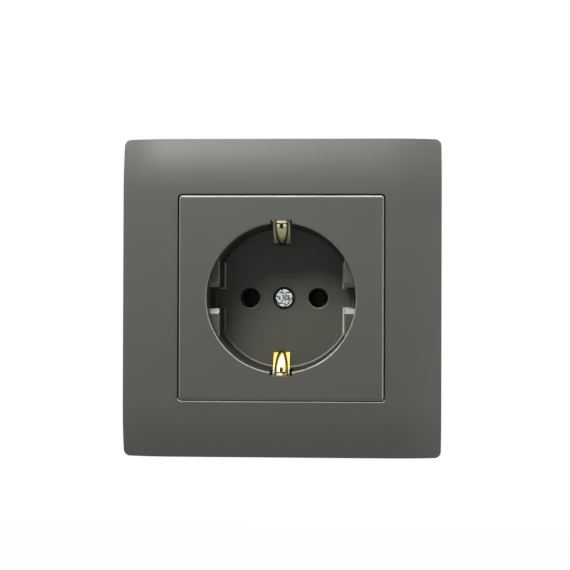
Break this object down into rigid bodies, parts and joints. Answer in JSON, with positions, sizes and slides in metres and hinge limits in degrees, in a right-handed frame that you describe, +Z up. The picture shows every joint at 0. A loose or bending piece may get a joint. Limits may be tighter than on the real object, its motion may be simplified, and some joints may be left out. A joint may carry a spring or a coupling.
{
  "type": "wall socket",
  "caption": "Flush-mounted wall socket outlet with side earthing contacts, square pillow-shaped frame, 55 mm centre plate, round well and spreader claws, in matt graphite.",
  "frame": {"origin": "the socket's axis in the plane of the wall, midway between the box-screw holes", "axes": "+X right and +Z up as seen from the room, +Y into the wall"},
  "size_m": [0.086, 0.0412, 0.086],
  "materials": {
    "graphite_plastic": "matt moulded",
    "cover_plastic": "matt moulded",
    "housing_plastic": "moulded",
    "brass_strip": "rolled",
    "brass_block": "extruded",
    "zinc_sheet": "zinc plated",
    "zinc_screw": "bright zinc plated"
  },
  "bodies": {
    "socket": {"surround_frame": "graphite_plastic", "centre_plate": "graphite_plastic", "centre_screw": "zinc_screw", "earth_strap": "brass_strip", "contact_cover": "cover_plastic", "insert_base": "housing_plastic", "support_ring": "zinc_sheet", "support_rivets": "zinc_sheet", "line_contact": "brass_strip", "neutral_contact": "brass_strip", "line_terminal": "brass_block", "neutral_terminal": "brass_block", "earth_terminal": "brass_block", "line_terminal_screw": "zinc_screw", "neutral_terminal_screw": "zinc_screw", "earth_terminal_screw": "zinc_screw", "right_claw_pin": "zinc_screw", "left_claw_pin": "zinc_screw"},
    "right_claw": {"right_claw": "zinc_sheet"},
    "right_claw_screw": {"right_claw_screw": "zinc_screw"},
    "right_claw_nut": {"right_claw_nut": "zinc_screw"},
    "left_claw": {"left_claw": "zinc_sheet"},
    "left_claw_screw": {"left_claw_screw": "zinc_screw"},
    "left_claw_nut": {"left_claw_nut": "zinc_screw"}
  },
  "joints": [
    {"name": "right_claw_nut_slide", "type": "slide", "parent": "socket", "child": "right_claw_nut", "axis": [0, -1, 0], "range_m": [0, 0.00354]},
    {"name": "right_claw_screw_turn", "type": "hinge", "parent": "socket", "child": "right_claw_screw", "pos_m": [0.0265, 0, -0.008], "axis": [0, 1, 0], "range_deg": [0, 2551]},
    {"name": "right_claw_swing", "type": "hinge", "parent": "socket", "child": "right_claw", "pos_m": [0.0231, 0.0019, -0.008], "axis": [0, 0, -1], "range_deg": [0, 24.01]},
    {"name": "left_claw_nut_slide", "type": "slide", "parent": "socket", "child": "left_claw_nut", "axis": [0, -1, 0], "range_m": [0, 0.00354]},
    {"name": "left_claw_screw_turn", "type": "hinge", "parent": "socket", "child": "left_claw_screw", "pos_m": [-0.0265, 0, 0.008], "axis": [0, 1, 0], "range_deg": [0, 2551]},
    {"name": "left_claw_swing", "type": "hinge", "parent": "socket", "child": "left_claw", "pos_m": [-0.0231, 0.0019, 0.008], "axis": [0, 0, 1], "range_deg": [0, 24.01]}
  ],
  "couplings": [
    {"joint": "right_claw_screw_turn", "follows": "right_claw_nut_slide", "rad_per_m": 12566},
    {"joint": "right_claw_swing", "follows": "right_claw_nut_slide", "rad_per_m": 118.25},
    {"joint": "left_claw_screw_turn", "follows": "left_claw_nut_slide", "rad_per_m": 12566},
    {"joint": "left_claw_swing", "follows": "left_claw_nut_slide", "rad_per_m": 118.25}
  ]
}
